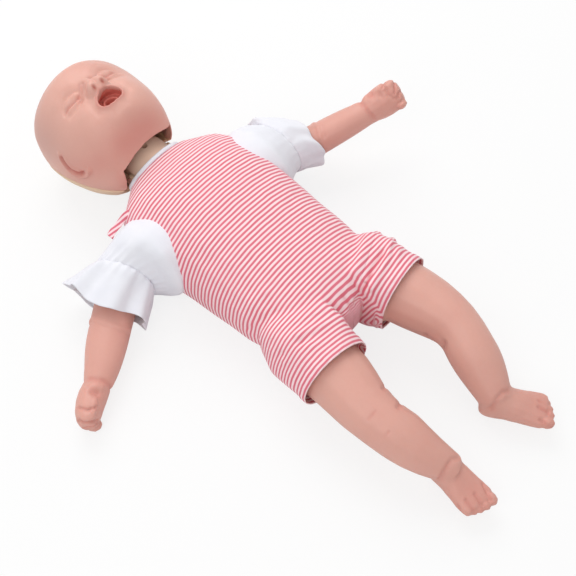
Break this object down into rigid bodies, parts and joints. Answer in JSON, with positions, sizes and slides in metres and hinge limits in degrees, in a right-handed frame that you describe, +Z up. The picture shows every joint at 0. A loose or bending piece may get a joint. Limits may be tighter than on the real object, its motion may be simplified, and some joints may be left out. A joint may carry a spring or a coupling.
{
  "type": "infant cpr training manikin",
  "caption": "Infant resuscitation manikin on its back in a striped romper, with hinged head, sprung chest and turning arms and legs.",
  "frame": {"origin": "on the floor under the middle of the back, where the back rests", "axes": "+Y from the feet to the crown, +X to the manikin's left side, +Z up from the floor"},
  "size_m": [0.4226, 0.5426, 0.1276],
  "materials": {
    "skin_vinyl": "soft satin",
    "cream_plastic": "satin",
    "mouth_rubber": "satin",
    "clear_film": "glossy",
    "spring_steel": "satin",
    "striped_cotton": "woven",
    "white_cotton": "woven"
  },
  "bodies": {
    "torso": {"trunk_skin": "skin_vinyl", "back_shell": "cream_plastic", "spring_cup": "cream_plastic", "chest_spring": "spring_steel", "neck_block": "cream_plastic", "left_shoulder_bearing": "cream_plastic", "right_shoulder_bearing": "cream_plastic", "left_hip_bearing": "cream_plastic", "right_hip_bearing": "cream_plastic", "romper_body": "striped_cotton", "neck_binding": "white_cotton", "shoulder_tab": "striped_cotton"},
    "head": {"face_skin": "skin_vinyl", "rear_skull": "cream_plastic", "skull_frame": "cream_plastic", "mouth_insert": "mouth_rubber", "airway_hose": "clear_film", "neck_pins": "skin_vinyl"},
    "chest": {"chest_plate": "cream_plastic", "lung_bag": "clear_film"},
    "left_arm": {"left_arm": "skin_vinyl", "left_shoulder_stud": "cream_plastic", "left_sleeve": "white_cotton", "left_frill": "white_cotton"},
    "right_arm": {"right_arm": "skin_vinyl", "right_shoulder_stud": "cream_plastic", "right_sleeve": "white_cotton", "right_frill": "white_cotton"},
    "left_leg": {"left_leg": "skin_vinyl", "left_hip_stud": "cream_plastic", "romper_left_leg": "striped_cotton"},
    "right_leg": {"right_leg": "skin_vinyl", "right_hip_stud": "cream_plastic", "romper_right_leg": "striped_cotton"}
  },
  "joints": [
    {"name": "head_tilt", "type": "hinge", "parent": "torso", "child": "head", "pos_m": [0, 0.121, 0.05], "axis": [1, 0, 0], "range_deg": [-18, 20], "deforming": ["airway_hose"]},
    {"name": "chest_press", "type": "slide", "parent": "torso", "child": "chest", "axis": [0, 0, -1], "range_m": [0, 0.038], "stiffness_N_per_m": 2500, "deforming": ["chest_spring"]},
    {"name": "left_shoulder", "type": "hinge", "parent": "torso", "child": "left_arm", "pos_m": [0.064, 0.052, 0.042], "axis": [1, 0, 0], "range_deg": [-90, 60]},
    {"name": "right_shoulder", "type": "hinge", "parent": "torso", "child": "right_arm", "pos_m": [-0.064, 0.052, 0.042], "axis": [1, 0, 0], "range_deg": [-120, 30]},
    {"name": "left_hip", "type": "hinge", "parent": "torso", "child": "left_leg", "pos_m": [0.017, -0.104, 0.043], "axis": [1, 0, 0], "range_deg": [-60, 15]},
    {"name": "right_hip", "type": "hinge", "parent": "torso", "child": "right_leg", "pos_m": [-0.017, -0.104, 0.043], "axis": [1, 0, 0], "range_deg": [-60, 15]}
  ]
}
